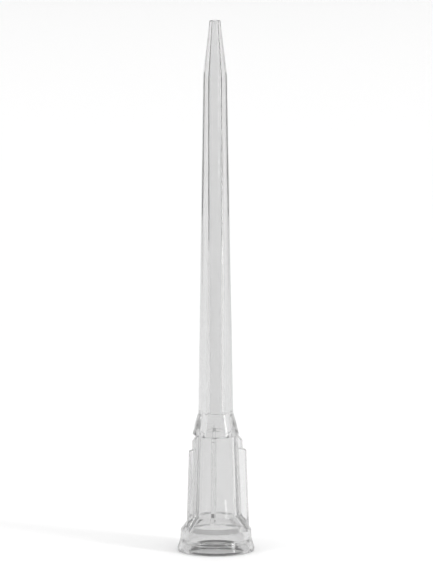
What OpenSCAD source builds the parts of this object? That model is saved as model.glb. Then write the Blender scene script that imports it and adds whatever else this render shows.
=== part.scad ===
// Long pipette tip for small volumes, standing on its collar with the nozzle up.
// One clear moulding: a tapered shaft and nozzle over a hollow hub with stepped ribs,
// and a flared collar round the mouth that takes the pipette. Millimetres, +Z along
// the bore. The origin is the centre of the rim that the tip stands on.

/* [Overall] */
// Length from the rim of the collar to the end of the nozzle
tip_length = 46; // [44:0.5:48]
// Segments in a full turn
turn_segments = 96; // [48:24:192]
// Segments in each rounded edge
edge_segments = 3; // [2:1:6]

/* [Nozzle] */
// Outer radius at the very end
nozzle_end_r = 0.49; // [0.46:0.01:0.52]
// Length of the nearly straight stretch at the end
nozzle_land = 0.45; // [0.3:0.05:1]
// Growth in radius along that stretch
nozzle_land_draft = 0.02; // [0:0.01:0.04]
// Length of the whole nozzle, down to the shaft
nozzle_length = 4.65; // [4:0.05:5.5]
// Radius of the orifice
orifice_r = 0.225; // [0.18:0.005:0.26]

/* [Shaft] */
// Outer radius where the nozzle starts
shaft_top_r = 1.02; // [0.95:0.01:1.05]
// Outer radius where the shoulder starts
shaft_foot_r = 1.505; // [1.45:0.005:1.55]
// Height of the shaft's foot above the rim
shaft_foot_z = 11.95; // [11.5:0.05:12.5]
// Radius of the channel where the nozzle starts
channel_top_r = 0.46; // [0.4:0.005:0.5]
// Radius of the channel at the shaft's foot
channel_foot_r = 0.55; // [0.52:0.01:0.6]

/* [Shoulder] */
// Outer radius of the shoulder's lower edge
shoulder_r = 1.99; // [1.95:0.01:2.05]
// Height of that edge above the rim
shoulder_z = 10.1; // [9.9:0.05:10.3]
// How far the shoulder's side bows outwards
shoulder_bow = 0.03; // [0.01:0.01:0.06]
// Radius of the small step where the channel widens at the shaft's foot
step_r = 0.77; // [0.65:0.01:0.85]
// Radius of the channel where it opens into the socket
throat_r = 0.95; // [0.9:0.05:1.1]

/* [Hub] */
// Outer radius under the shoulder
hub_top_r = 1.8; // [1.75:0.01:1.85]
// Outer radius where the collar's slope starts
hub_foot_r = 2.08; // [2.04:0.01:2.12]
// Height of the slope's upper end, outside
hub_foot_z = 3.08; // [3:0.02:3.2]

/* [Socket] */
// Radius at the closed end
socket_top_r = 1.42; // [1.35:0.01:1.45]
// Radius of the straight band that seals on the pipette
seal_r = 1.54; // [1.5:0.01:1.57]
// Length of the sealing band
seal_length = 1.6; // [1.2:0.1:2]
// Height of the sealing band's lower end
seal_z = 4.6; // [4.2:0.1:5]
// Radius at the socket's foot, where the slope inside the collar starts
socket_foot_r = 1.7; // [1.64:0.01:1.74]
// Height of the socket's foot
socket_foot_z = 2.87; // [2.8:0.01:2.95]

/* [Mouth] */
// Radius inside the collar, under the slope
mouth_top_r = 2.43; // [2.38:0.01:2.45]
// Height where the slope inside ends
mouth_top_z = 2.1; // [2:0.05:2.2]
// Growth in radius from there down to the lead-in
mouth_draft = 0.02; // [0:0.01:0.04]
// Height of the lead-in
lead_in_z = 1.02; // [0.9:0.02:1.1]
// Radius of the narrow land that breaks the lead-in
lead_land_r = 2.64; // [2.58:0.01:2.68]
// Height of that land's upper end
lead_land_z = 0.7; // [0.6:0.02:0.8]
// Length of the land
lead_land_length = 0.07; // [0.05:0.01:0.1]
// Radius of the mouth at the rim
mouth_r = 2.97; // [2.85:0.01:3]

/* [Collar] */
// Outer radius at the rim
rim_r = 3.3; // [3.25:0.01:3.35]
// Height of the rim's upright edge
rim_height = 0.25; // [0.2:0.01:0.35]
// Outer radius where the flare starts
collar_foot_r = 3.07; // [3.05:0.01:3.1]
// Height of the flare
collar_foot_z = 1.03; // [0.95:0.01:1.1]
// Outer radius at the collar's upper edge
collar_top_r = 3.03; // [3:0.01:3.05]
// Height of the collar's upper edge
collar_height = 1.82; // [1.78:0.01:1.9]

/* [Ribs] */
// Number of ribs round the hub
rib_count = 3; // [3:1:6]
// Direction of the first rib
rib_angle = 90; // [0:5:360]
// Width of a rib's outer edge at the collar
rib_foot_width = 0.38; // [0.3:0.01:0.45]
// Width at that same reach, taken up at the height of the shoulder
rib_top_width = 0.22; // [0.18:0.01:0.3]
// Draft on each side of a rib, thicker towards the hub
rib_draft = 0.1; // [0.05:0.01:0.14]
// Reach of a rib from the axis, at the collar
rib_foot_reach = 3.03; // [2.98:0.01:3.04]
// Reach of a rib at its step
rib_step_reach = 2.79; // [2.7:0.01:2.82]
// Height of the step
rib_step_z = 8.95; // [8.5:0.05:9.1]
// Reach of the narrow part above the step
rib_neck_reach = 2.43; // [2.35:0.01:2.48]
// Height where the narrow part starts to slope in
rib_neck_z = 9.72; // [9.6:0.01:9.8]
// Height on the hub's line that this slope points at, inside the shoulder
rib_head_z = 10.35; // [10.3:0.05:10.6]

/* [Edges] */
// Radius on the moulding's outer edges
edge_r = 0.06; // [0.04:0.01:0.08]
// Radius of the soft bend where the flare starts
flare_bend_r = 0.25; // [0.1:0.05:0.5]
// Radius on the collar's upper edge
collar_edge_r = 0.15; // [0.1:0.01:0.2]
// Radius in the bend between hub and slope
slope_bend_r = 0.12; // [0.08:0.01:0.2]
// Radius on the corner of a rib's step
rib_corner_r = 0.12; // [0.08:0.01:0.15]

/* [Hidden] */

// Heights worked out from the sizes above
nozzle_z = tip_length - nozzle_length;
land_z = tip_length - nozzle_land;
seal_top_z = seal_z + seal_length;
// The socket ends flat, this far under the shoulder's lower edge
socket_z = shoulder_z - 0.15;
// Depth that a rib is sunk into the wall behind it
rib_root = 0.18;
// A rib starts this far below the collar's upper edge
rib_sunk = 0.3;
// Room past a rib on every side, for the blocks that cut its sides
spare = 1;
// Turn and lean of a rib's side, from its draft and from its narrowing upwards
side_turn = atan(rib_draft);
side_lean = atan((rib_foot_width - rib_top_width) / 2 / (shoulder_z - collar_height)
    * cos(side_turn));

function unit(v) = v / norm(v);

// Turns a vector by an angle
function turned(v, a) = [v.x * cos(a) - v.y * sin(a), v.x * sin(a) + v.y * cos(a)];

// Arc that rounds one corner [r, z, radius], between its neighbours
function corner_arc(before, corner, after) =
    let (
        p = [corner.x, corner.y],
        back = unit([before.x, before.y] - p),
        ahead = unit([after.x, after.y] - p),
        half = acos(back * ahead) / 2,
        centre = p + unit(back + ahead) * corner.z / sin(half),
        start = p + back * corner.z / tan(half) - centre,
        side = cross(back, ahead) > 0 ? -1 : 1,
        sweep = side * (180 - 2 * half)
    )
    [for (i = [0 : edge_segments]) centre + turned(start, sweep * i / edge_segments)];

// Closed outline with every corner that has a radius rounded
function rounded(corners) =
    let (n = len(corners))
    [for (i = [0 : n - 1])
        each corners[i].z == 0
            ? [[corners[i].x, corners[i].y]]
            : corner_arc(corners[(i + n - 1) % n], corners[i], corners[(i + 1) % n])];

// Corner halfway between two points, pushed out sideways by a bow
function bowed(a, b, bow) =
    let (out = unit([b.y - a.y, a.x - b.x]))
    [(a.x + b.x) / 2 + out.x * bow, (a.y + b.y) / 2 + out.y * bow, 0];

// Half section, up the outside and down through the channel, socket and mouth
outside = [
    [rim_r, 0, edge_r],
    [rim_r, rim_height, edge_r],
    [collar_foot_r, collar_foot_z, flare_bend_r],
    [collar_top_r, collar_height, collar_edge_r],
    [hub_foot_r, hub_foot_z, slope_bend_r],
    [hub_top_r, shoulder_z, 0],
    [shoulder_r, shoulder_z, edge_r / 2],
    bowed([shoulder_r, shoulder_z], [shaft_foot_r, shaft_foot_z], shoulder_bow),
    [shaft_foot_r, shaft_foot_z, 0],
    [shaft_top_r, nozzle_z, 0],
    [nozzle_end_r + nozzle_land_draft, land_z, 0],
    [nozzle_end_r, tip_length, edge_r]
];
inside = [
    [orifice_r, tip_length, 0],
    [channel_top_r, nozzle_z, 0],
    [channel_foot_r, shaft_foot_z, 0],
    [step_r, shaft_foot_z, 0],
    [throat_r, socket_z, 0],
    [socket_top_r, socket_z, edge_r],
    [seal_r, seal_top_z, 0],
    [seal_r, seal_z, 0],
    [socket_foot_r, socket_foot_z, 0],
    [mouth_top_r, mouth_top_z, edge_r],
    [mouth_top_r + mouth_draft, lead_in_z, 0],
    [lead_land_r, lead_land_z, 0],
    [lead_land_r, lead_land_z - lead_land_length, 0],
    [mouth_r, 0, edge_r]
];

// Side view of a rib, from the wall behind it outwards
rib_side = [
    [hub_top_r, rib_head_z, 0],
    [hub_top_r - rib_root, shoulder_z, 0],
    [hub_foot_r - rib_root, hub_foot_z, 0],
    [collar_top_r - rib_root, collar_height - rib_sunk, 0],
    [rib_foot_reach, collar_height - rib_sunk, 0],
    [rib_step_reach, rib_step_z, rib_corner_r],
    [rib_neck_reach, rib_step_z, 0],
    [rib_neck_reach - 0.01, rib_neck_z, edge_r]
];

module moulded_body() {
    rotate_extrude($fn = turn_segments)
        polygon(rounded(concat(outside, inside)));
}

// Everything on one side of a rib's drafted flank
module rib_half() {
    depth = 2 * rib_foot_width + spare;
    below = collar_height + spare;
    translate([rib_foot_reach, rib_foot_width / 2, collar_height])
        rotate([side_lean, 0, -side_turn])
            translate([-rib_foot_reach, -depth, -below])
                cube([rib_foot_reach + spare, depth, rib_head_z + spare]);
}

module rib() {
    intersection() {
        rotate_extrude($fn = turn_segments)
            polygon(rounded(rib_side));
        rib_half();
        mirror([0, 1, 0])
            rib_half();
    }
}

module tip() {
    color("gainsboro", 0.45)
        union() {
            moulded_body();
            for (i = [0 : rib_count - 1])
                rotate([0, 0, rib_angle + i * 360 / rib_count])
                    rib();
        }
}

tip();
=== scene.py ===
import math

import bpy
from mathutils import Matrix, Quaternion, Vector


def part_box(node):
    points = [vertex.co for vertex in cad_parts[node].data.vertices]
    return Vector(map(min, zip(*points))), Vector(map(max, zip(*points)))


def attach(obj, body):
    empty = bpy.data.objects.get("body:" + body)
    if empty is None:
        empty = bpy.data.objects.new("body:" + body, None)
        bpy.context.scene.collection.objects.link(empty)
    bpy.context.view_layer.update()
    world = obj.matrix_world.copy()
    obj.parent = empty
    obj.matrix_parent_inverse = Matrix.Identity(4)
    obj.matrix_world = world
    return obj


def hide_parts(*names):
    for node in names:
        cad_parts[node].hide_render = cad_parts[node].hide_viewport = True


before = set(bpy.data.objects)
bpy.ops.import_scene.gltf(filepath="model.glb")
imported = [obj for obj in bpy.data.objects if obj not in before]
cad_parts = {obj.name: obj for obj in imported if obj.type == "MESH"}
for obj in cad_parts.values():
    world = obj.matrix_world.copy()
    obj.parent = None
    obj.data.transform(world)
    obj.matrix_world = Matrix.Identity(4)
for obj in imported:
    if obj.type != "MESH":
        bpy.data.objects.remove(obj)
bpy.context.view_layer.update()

# ---------------------------------------------------------------------------
# Tip: one thin clear polypropylene moulding with no assembly. Shaft, hub, ribs
# and collar form in one polished steel cavity, round a core pin that leaves the
# socket and the channel, so every edge carries a small radius.
# ---------------------------------------------------------------------------
MM = 0.001
tip_low, tip_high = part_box("tip")
tip_length = (tip_high.z - tip_low.z) / MM
rim_r = (tip_high.x - tip_low.x) / 2 / MM

# Radii and heights above the rim, in millimetres
nozzle_length, nozzle_end_r, nozzle_land, land_draft = 4.65, 0.49, 0.45, 0.02
orifice_r, channel_top_r, channel_foot_r = 0.225, 0.46, 0.55
shaft_top_r, shaft_foot_r, shaft_foot_z = 1.02, 1.505, 11.95
step_r, throat_r = 0.77, 0.95
shoulder_r, shoulder_z, shoulder_bow = 1.99, 10.1, 0.03
hub_top_r, hub_foot_r, hub_foot_z = 1.8, 2.08, 3.08
socket_top_r, seal_r, seal_z, seal_length = 1.42, 1.54, 4.6, 1.6
socket_foot_r, socket_foot_z = 1.7, 2.87
mouth_top_r, mouth_top_z, mouth_draft = 2.43, 2.1, 0.02
lead_in_z, lead_land_r, lead_land_z, lead_land_length, mouth_r = 1.02, 2.64, 0.7, 0.07, 2.97
collar_foot_r, collar_foot_z, collar_top_r, collar_top_z = 3.07, 1.03, 3.03, 1.82
flange_z, edge_r = 0.25, 0.06
socket_end_z = shoulder_z - 0.15
hub_start_z = hub_foot_z + 0.3            # past the bend above the collar's slope
ledge_in, ledge_up = 0.017, 0.075         # from the shoulder's lower edge to where its side starts

# Ribs
rib_count, rib_angle, rib_draft = 3, 90, 0.1
rib_foot_width, rib_top_width = 0.38, 0.22
rib_foot_reach, rib_step_reach, rib_step_z = 3.03, 2.79, 8.95
rib_neck_reach, rib_neck_z = 2.43, 9.72

ARC_STEPS = 5
nozzle_z = tip_length - nozzle_length


def rounded(corners):
    """Line through corners (r, z, radius), where each corner between the ends becomes an arc."""
    points = []
    for before, (r, z, radius), after in zip(corners, corners[1:], corners[2:]):
        here = Vector((r, z))
        back = (Vector(before[:2]) - here).normalized()
        ahead = (Vector(after[:2]) - here).normalized()
        half = back.angle(ahead) / 2
        reach = radius / math.tan(half)
        centre = here + (back + ahead).normalized() * radius / math.sin(half)
        spoke = here + back * reach - centre
        sweep = (2 * half - math.pi) if back.cross(ahead) > 0 else (math.pi - 2 * half)
        hold = min(radius * 0.5, 0.05)
        points.append(here + back * (reach + hold))
        for k in range(ARC_STEPS + 1):
            turn = sweep * k / ARC_STEPS
            points.append(centre + Vector((spoke.x * math.cos(turn) - spoke.y * math.sin(turn),
                                           spoke.x * math.sin(turn) + spoke.y * math.cos(turn))))
        points.append(here + ahead * (reach + hold))
    return [Vector(corners[0][:2])] + points + [Vector(corners[-1][:2])]


def spread(points):
    """Share of a line's own length at each of its points."""
    run = [0.0]
    for a, b in zip(points, points[1:]):
        run.append(run[-1] + (b - a).length)
    return [d / run[-1] for d in run]


def rib_line(z):
    """Reach of a rib's outer edge at a height, between its foot and its step."""
    along = (z - collar_top_z) / (rib_step_z - collar_top_z)
    return rib_foot_reach + (rib_step_reach - rib_foot_reach) * along


skin = []          # one row a point of the half section: core radius and height, rib reach and height
collar = rounded([
    (mouth_r + edge_r * 2, 0, 0),
    (rim_r, 0, edge_r),
    (rim_r, flange_z, 0.06),
    (collar_foot_r, collar_foot_z, 0.25),
    (collar_top_r, collar_top_z, 0.15),
    (hub_foot_r, hub_foot_z, 0.12),
    (hub_foot_r - 0.01, hub_foot_z + 0.22, 0),
])
for p in collar:
    skin.append((p.x, p.y, max(p.x, rib_line(p.y)) if p.y > collar_foot_z else p.x, p.y))
ledge = rounded([
    (hub_top_r, shoulder_z - 0.06, 0),
    (hub_top_r, shoulder_z, 0.02),
    (shoulder_r, shoulder_z, 0.03),
    (shoulder_r - ledge_in, shoulder_z + ledge_up, 0),
])
rib_side = rounded([
    (rib_line(hub_start_z), hub_start_z, 0),
    (rib_step_reach, rib_step_z, 0.12),
    (rib_neck_reach, rib_step_z, 0.03),
    (rib_neck_reach - 0.01, rib_neck_z, edge_r),
    (ledge[-1].x, ledge[-1].y, 0),
])
neck_end = len(rib_side) - 2
hub = [Vector((hub_foot_r - 0.013, hub_start_z)), Vector((hub_top_r, shoulder_z - 0.08))]
for share, p in zip(spread(rib_side[:neck_end + 1]), rib_side):
    core = hub[0].lerp(hub[1], share)
    skin.append((core.x, core.y, p.x, p.y))
for share, core in zip(spread([hub[1]] + ledge)[1:], ledge):
    p = rib_side[neck_end].lerp(rib_side[-1], share)
    skin.append((core.x, core.y, p.x, p.y))
upper = rounded([
    (ledge[-1].x, ledge[-1].y, 0),
    ((shoulder_r + shaft_foot_r) / 2 + shoulder_bow, (shoulder_z + shaft_foot_z) / 2, 1),
    (shaft_foot_r, shaft_foot_z, 0.12),
    (shaft_top_r, nozzle_z, 0.08),
    (nozzle_end_r + land_draft, tip_length - nozzle_land, 0.3),
    (nozzle_end_r, tip_length, edge_r),
    (orifice_r, tip_length, 0.02),
    (channel_top_r, nozzle_z, 0.3),
    (channel_foot_r, shaft_foot_z, 0.02),
    (step_r, shaft_foot_z, 0.04),
    (throat_r, socket_end_z, 0.01),
    (socket_top_r, socket_end_z, 0.03),
    (seal_r, seal_z + seal_length, 0.3),
    (seal_r, seal_z, 0.3),
    (socket_foot_r, socket_foot_z, 0.1),
    (mouth_top_r, mouth_top_z, 0.1),
    (mouth_top_r + mouth_draft, lead_in_z, 0.05),
    (lead_land_r, lead_land_z, 0.02),
    (lead_land_r, lead_land_z - lead_land_length, 0.02),
    (mouth_r, 0, edge_r),
    (mouth_r + edge_r * 2, 0, 0),
])
skin += [(p.x, p.y, p.x, p.y) for p in upper[1:-1]]

outline = bpy.data.meshes.new("half_section")
outline.from_pydata([(r * MM, 0, z * MM) for r, z, _, _ in skin],
                    [(i, (i + 1) % len(skin)) for i in range(len(skin))], [])
for name, column in (("core_radius", 0), ("core_height", 1), ("rib_reach", 2), ("rib_height", 3)):
    values = outline.attributes.new(name, "FLOAT", "POINT")
    values.data.foreach_set("value", [row[column] * MM for row in skin])


def add(tree, kind, *values, **settings):
    """Adds a node with its settings, and fills its inputs in order: a socket is linked, None is left."""
    node = tree.nodes.new(kind)
    for name, value in settings.items():
        setattr(node, name, value)
    for socket, value in zip(node.inputs, values):
        if isinstance(value, bpy.types.NodeSocket):
            tree.links.new(value, socket)
        elif value is not None:
            socket.default_value = value
    return node.outputs[0] if node.outputs else node


tree = bpy.data.node_groups.new("moulded_tip", "GeometryNodeTree")
inputs = {
    "Half Section": "NodeSocketGeometry", "Ribs": "NodeSocketInt", "First Rib": "NodeSocketFloat",
    "Rib Foot Width": "NodeSocketFloat", "Rib Top Width": "NodeSocketFloat",
    "Rib Foot Height": "NodeSocketFloat", "Rib Top Height": "NodeSocketFloat",
    "Rib Foot Reach": "NodeSocketFloat", "Rib Draft": "NodeSocketFloat",
    "Rib Edge Radius": "NodeSocketFloat", "Rib Root Fillet": "NodeSocketFloat",
    "Plastic": "NodeSocketMaterial",
}
for name, kind in inputs.items():
    tree.interface.new_socket(name, in_out="INPUT", socket_type=kind)
tree.interface.new_socket("Moulding", in_out="OUTPUT", socket_type="NodeSocketGeometry")
size = tree.nodes.new("NodeGroupInput").outputs
MATH, RANGE, MIX = "ShaderNodeMath", "ShaderNodeMapRange", "ShaderNodeMix"

# Stations round half of one rib's share of the turn: its face, edge, side and root, then bare wall
FACE, EDGE, SIDE, ROOT, WALL = 2, 3, 3, 3, 21
on_rib = FACE + EDGE + SIDE + ROOT
half_share = on_rib + WALL

stations = add(tree, MATH, size["Ribs"], 2.0 * half_share, operation="MULTIPLY")
hoop = add(tree, "GeometryNodeCurvePrimitiveCircle", stations)
index = add(tree, "GeometryNodeInputIndex")
hoop = add(tree, "GeometryNodeStoreNamedAttribute", hoop, None, "station", index,
           data_type="FLOAT", domain="POINT")
section = add(tree, "GeometryNodeMeshToCurve", size["Half Section"])
shell = add(tree, "GeometryNodeCurveToMesh", hoop, section)
station, core_r, core_z, reach, reach_z = [
    add(tree, "GeometryNodeInputNamedAttribute", name, data_type="FLOAT")
    for name in ("station", "core_radius", "core_height", "rib_reach", "rib_height")]

# Which rib a station belongs to, on which side of it, and how far round from its middle
place = add(tree, MATH, station, 2.0 * half_share, operation="FLOORED_MODULO")
place = add(tree, MATH, place, float(half_share), operation="SUBTRACT")
hand = add(tree, MATH, place, operation="SIGN")
place = add(tree, MATH, place, operation="ABSOLUTE")
nth = add(tree, MATH, station, 2.0 * half_share, operation="DIVIDE")
nth = add(tree, MATH, nth, operation="FLOOR")
turn = add(tree, MATH, math.tau, size["Ribs"], operation="DIVIDE")
heading = add(tree, MATH, nth, turn, size["First Rib"], operation="MULTIPLY_ADD")
face, edge, side, root, wall, whole = [
    add(tree, RANGE, place, float(start), float(start + count), 0.0, 1.0)
    for start, count in ((0, FACE), (FACE, EDGE), (FACE + EDGE, SIDE), (on_rib - ROOT, ROOT),
                         (on_rib, WALL), (0, on_rib))]
edge = add(tree, MATH, edge, math.pi / 2, operation="MULTIPLY")
root = add(tree, MATH, root, math.pi / 2, operation="MULTIPLY")

# Half width of the rib at this height, at its foot's reach and then at its own face
drop = add(tree, MATH, core_z, reach_z, operation="SUBTRACT")
height = add(tree, MATH, drop, side, reach_z, operation="MULTIPLY_ADD")
width = add(tree, RANGE, height, size["Rib Foot Height"], size["Rib Top Height"],
            size["Rib Foot Width"], size["Rib Top Width"])
half_width = add(tree, MATH, width, 2.0, operation="DIVIDE")
inset = add(tree, MATH, size["Rib Foot Reach"], reach, operation="SUBTRACT")
half_face = add(tree, MATH, inset, size["Rib Draft"], half_width, operation="MULTIPLY_ADD")
inset = add(tree, MATH, size["Rib Foot Reach"], core_r, operation="SUBTRACT")
half_root = add(tree, MATH, inset, size["Rib Draft"], half_width, operation="MULTIPLY_ADD")

# A rib that hardly stands out of the wall has a smaller edge and fillet
most_rounding = 0.4                       # share of the rib's own height
room = add(tree, MATH, reach, core_r, operation="SUBTRACT")
room = add(tree, MATH, room, most_rounding, operation="MULTIPLY")
edge_radius = add(tree, MATH, size["Rib Edge Radius"], room, operation="MINIMUM")
fillet = add(tree, MATH, size["Rib Root Fillet"], room, operation="MINIMUM")

# Where the fillet meets the wall, never far round the hub
most_foot = 0.35                          # share of the hub's radius
foot = add(tree, MATH, half_root, fillet, operation="ADD")
foot_most = add(tree, MATH, core_r, most_foot, operation="MULTIPLY")
foot = add(tree, MATH, foot, foot_most, operation="MINIMUM")
foot_angle = add(tree, MATH, add(tree, MATH, foot, core_r, operation="DIVIDE"), operation="ARCSINE")
foot_cos = add(tree, MATH, foot_angle, operation="COSINE")
foot_out = add(tree, MATH, core_r, foot_cos, operation="MULTIPLY")

# Bare wall: even stations from the fillet to halfway to the next rib
half_turn = add(tree, MATH, turn, 2.0, operation="DIVIDE")
gap = add(tree, MATH, half_turn, foot_angle, operation="SUBTRACT")
angle = add(tree, MATH, gap, wall, operation="MULTIPLY")
angle = add(tree, MATH, foot_angle, whole, angle, operation="MULTIPLY_ADD")
wall_out = add(tree, MATH, core_r, add(tree, MATH, angle, operation="COSINE"), operation="MULTIPLY")
wall_across = add(tree, MATH, core_r, add(tree, MATH, angle, operation="SINE"), operation="MULTIPLY")

# Rib, outwards: level across the face, round the edge, down the side and into the fillet
fall = add(tree, MATH, 1.0, add(tree, MATH, edge, operation="COSINE"), operation="SUBTRACT")
fall = add(tree, MATH, edge_radius, fall, operation="MULTIPLY")
out = add(tree, MATH, reach, fall, operation="SUBTRACT")
side_foot = add(tree, MATH, foot_out, fillet, operation="ADD")
side_drop = add(tree, MATH, side_foot, out, operation="SUBTRACT")
out = add(tree, MATH, side_drop, side, out, operation="MULTIPLY_ADD")
sunk = add(tree, MATH, fillet, add(tree, MATH, root, operation="SINE"), operation="MULTIPLY")
out = add(tree, MATH, out, sunk, operation="SUBTRACT")

# Rib, across: the flat of the face, the edge, the draft of the side and the fillet's flare
flat = add(tree, MATH, half_face, edge_radius, operation="SUBTRACT")
across = add(tree, MATH, flat, face, operation="MULTIPLY")
across = add(tree, MATH, edge_radius, add(tree, MATH, edge, operation="SINE"), across,
             operation="MULTIPLY_ADD")
leant = add(tree, MATH, reach, out, operation="SUBTRACT")
leant = add(tree, MATH, leant, side, operation="MULTIPLY")
across = add(tree, MATH, leant, size["Rib Draft"], across, operation="MULTIPLY_ADD")
flare = add(tree, MATH, 1.0, add(tree, MATH, root, operation="COSINE"), operation="SUBTRACT")
across = add(tree, MATH, fillet, flare, across, operation="MULTIPLY_ADD")

# The rib shows only where it stands proud of the wall
blend_height = 0.03 * MM
proud = add(tree, MATH, reach, core_r, operation="SUBTRACT")
proud = add(tree, RANGE, proud, 0.0, blend_height, 0.0, 1.0)
near_rib = add(tree, MATH, place, on_rib + 0.5, operation="LESS_THAN")
proud = add(tree, MATH, proud, near_rib, operation="MULTIPLY")
x = add(tree, MIX, proud, None, wall_out, out)
y = add(tree, MATH, add(tree, MIX, proud, None, wall_across, across), hand, operation="MULTIPLY")
z = add(tree, MIX, proud, None, core_z, height)
point = add(tree, "ShaderNodeCombineXYZ", x, y, z)
point = add(tree, "ShaderNodeVectorRotate", point, (0, 0, 0), (0, 0, 1), heading,
            rotation_type="Z_AXIS")
shell = add(tree, "GeometryNodeSetPosition", shell, None, point)
shell = add(tree, "GeometryNodeFlipFaces", shell)
shell = add(tree, "GeometryNodeSetShadeSmooth", shell, None, True)
shell = add(tree, "GeometryNodeRealizeInstances", shell)
shell = add(tree, "GeometryNodeSetMaterial", shell, None, size["Plastic"])
add(tree, "NodeGroupOutput", shell)


def linear(hex_colour):
    """Linear RGB from an sRGB hex value."""
    parts = [int(hex_colour[i:i + 2], 16) / 255 for i in (1, 3, 5)]
    return [c / 12.92 if c <= 0.04045 else ((c + 0.055) / 1.055) ** 2.4 for c in parts]


# Clear random-copolymer polypropylene from a polished tool: glossy and see-through, with a slight
# greyness at each surface, a faint haze that softens what shows through the thick places, and the
# fine lengthwise lines of the tool's polish, which make the bright streaks a little uneven
plastic = bpy.data.materials.new("clear_moulded_polypropylene")
plastic.use_nodes = True
pt = plastic.node_tree
pt.nodes.clear()
surface_grey, roughness, polymer_ior = "#EAEAEA", 0.05, 1.49
haze_per_metre, haze_forward = 150.0, 0.5
line_gap, line_length, line_depth = 0.2 * MM, 8 * MM, 0.004 * MM
coordinates = add(pt, "ShaderNodeTexCoord").node.outputs["Object"]
drawn = add(pt, "ShaderNodeMapping", coordinates, None, None,
            (1 / line_gap, 1 / line_gap, 1 / line_length))
lines = add(pt, "ShaderNodeTexNoise", drawn, None, 1.0, 1.0)
relief = add(pt, "ShaderNodeBump", 1.0, line_depth, None, lines)
body = add(pt, "ShaderNodeBsdfPrincipled", (*linear(surface_grey), 1), 0.0, roughness, polymer_ior,
           None, relief)
body.node.inputs["Transmission Weight"].default_value = 1.0
haze = add(pt, "ShaderNodeVolumeScatter", (1, 1, 1, 1), haze_per_metre, haze_forward)
add(pt, "ShaderNodeOutputMaterial", body, haze)

moulding = bpy.data.objects.new("moulding", outline)
bpy.context.scene.collection.objects.link(moulding)
modifier = moulding.modifiers.new("moulded_tip", "NODES")
modifier.node_group = tree
chosen = {
    "Ribs": rib_count, "First Rib": math.radians(rib_angle),
    "Rib Foot Width": rib_foot_width * MM, "Rib Top Width": rib_top_width * MM,
    "Rib Foot Height": collar_top_z * MM, "Rib Top Height": shoulder_z * MM,
    "Rib Foot Reach": rib_foot_reach * MM, "Rib Draft": rib_draft,
    "Rib Edge Radius": 0.03 * MM, "Rib Root Fillet": 0.04 * MM, "Plastic": plastic,
}
for item in tree.interface.items_tree:
    if item.in_out == "INPUT" and item.name in chosen:
        modifier[item.identifier] = chosen[item.name]
bpy.context.view_layer.update()
evaluated = moulding.evaluated_get(bpy.context.evaluated_depsgraph_get())
tip = bpy.data.objects.new("clear_tip", bpy.data.meshes.new_from_object(evaluated))
bpy.context.scene.collection.objects.link(tip)
moulding.modifiers.clear()
bpy.data.objects.remove(moulding)
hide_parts("tip")
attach(tip, "root")

# ---------------------------------------------------------------------------
# Studio: a white table inside a white light tent. A grey card hangs behind, a dark
# flag stands at each side to draw the edges, and a strip box in front of each flag.
# ---------------------------------------------------------------------------
scene = bpy.context.scene
scene.view_settings.view_transform = "Standard"
view_turn = math.radians(-6.8)            # the camera stands this far round from the front
view_pitch = math.radians(10.0)
right = Vector((math.cos(view_turn), math.sin(view_turn), 0))
behind = Vector((-math.sin(view_turn), math.cos(view_turn), 0))


def outwards(round_by):
    """Level direction at an angle to the right from straight behind the part."""
    turn = math.radians(round_by)
    return behind * math.cos(turn) + right * math.sin(turn)


def matt(name, hex_colour):
    """Matt paint or card."""
    material = bpy.data.materials.new(name)
    material.use_nodes = True
    material.node_tree.nodes.clear()
    cover = add(material.node_tree, "ShaderNodeBsdfDiffuse", (*linear(hex_colour), 1))
    add(material.node_tree, "ShaderNodeOutputMaterial", cover)
    return material


def sheet(name, points, material):
    """Flat sheet with the given corners, left out of the part."""
    mesh = bpy.data.meshes.new(name)
    mesh.from_pydata(points, [], [tuple(range(len(points)))])
    mesh.materials.append(material)
    made = bpy.data.objects.new(name, mesh)
    scene.collection.objects.link(made)
    return made


table_r, table_sides, table_gap = 0.9, 64, 0.03 * MM
corners = [(table_r * math.cos(math.tau * k / table_sides),
            table_r * math.sin(math.tau * k / table_sides), -table_gap) for k in range(table_sides)]
sheet("table", corners, matt("white_table", "#FFFFFF"))


def upright_card(name, round_by, reach, width, low, high, hex_colour):
    """Upright card that faces the part. It isn't shown itself, so that it hides nothing from
    another side, but the plastic shows it."""
    side = outwards(round_by + 90)
    corners = [outwards(round_by) * reach + side * x + Vector((0, 0, z))
               for x, z in ((width / 2, low), (-width / 2, low), (-width / 2, high), (width / 2, high))]
    card = sheet(name, corners, matt(name, hex_colour))
    card.visible_camera = False


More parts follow.
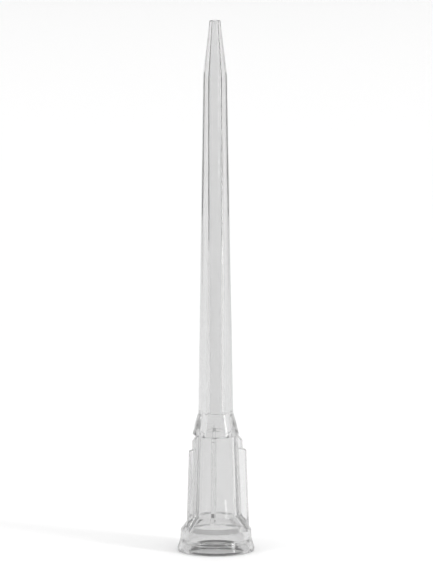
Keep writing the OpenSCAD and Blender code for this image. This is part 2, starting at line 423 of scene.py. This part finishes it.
upright_card("back_card", 0, reach=0.40, width=0.09, low=0.019, high=0.12, hex_colour="#585858")
upright_card("left_flag", -62, reach=0.145, width=0.06, low=0, high=0.12, hex_colour="#484848")
upright_card("right_flag", 62, reach=0.145, width=0.06, low=0, high=0.12, hex_colour="#484848")


def soft_box(name, round_by, width, radiance):
    """Upright lamp that stands on the table and faces the part."""
    box_reach, box_height, box_tall = 0.176, 0.10, 0.2
    lamp = bpy.data.lights.new(name, "AREA")
    lamp.shape = "RECTANGLE"
    lamp.size, lamp.size_y = width, box_tall
    lamp.energy = radiance * math.pi * width * box_tall
    box = bpy.data.objects.new(name, lamp)
    box.location = outwards(round_by) * box_reach
    aim = -box.location
    box.location.z = box_height
    box.rotation_mode = "QUATERNION"
    box.rotation_quaternion = aim.to_track_quat("-Z", "Y")
    box.visible_camera = False
    scene.collection.objects.link(box)


soft_box("right_strip", 123, width=0.03, radiance=8.0)
soft_box("left_strip", -125, width=0.02, radiance=3.0)

world = bpy.data.worlds.new("white_tent")
scene.world = world
world.use_nodes = True
world.node_tree.nodes.clear()
tent_strength = 1.0
tent = add(world.node_tree, "ShaderNodeBackground", (1, 1, 1, 1), tent_strength)
add(world.node_tree, "ShaderNodeOutputWorld", tent)

# Light crosses many walls of clear plastic before it gets out, so it is followed for longer
many_walls = 48
scene.cycles.max_bounces = many_walls
scene.cycles.transmission_bounces = many_walls
scene.cycles.glossy_bounces = many_walls
scene.cycles.volume_bounces = 16

view_distance, view_height, view_centre, view_roll = 1.5, 49.45 * MM, 22.76 * MM, -0.113
view_right = 0.083 * MM
away = Vector((0, 0, math.sin(view_pitch))) - behind * math.cos(view_pitch)
look_at = Vector((0, 0, view_centre)) + right * view_right
camera_data = bpy.data.cameras.new("camera")
camera_data.sensor_width = 36
camera_data.lens = camera_data.sensor_width * view_distance / view_height
camera_data.clip_start, camera_data.clip_end = 0.05, 20
camera = bpy.data.objects.new("camera", camera_data)
camera.location = look_at + away * view_distance
camera.rotation_mode = "QUATERNION"
roll = Quaternion((0, 0, 1), math.radians(view_roll))
camera.rotation_quaternion = (-away).to_track_quat("-Z", "Y") @ roll
scene.collection.objects.link(camera)
scene.camera = camera

bpy.context.view_layer.update()
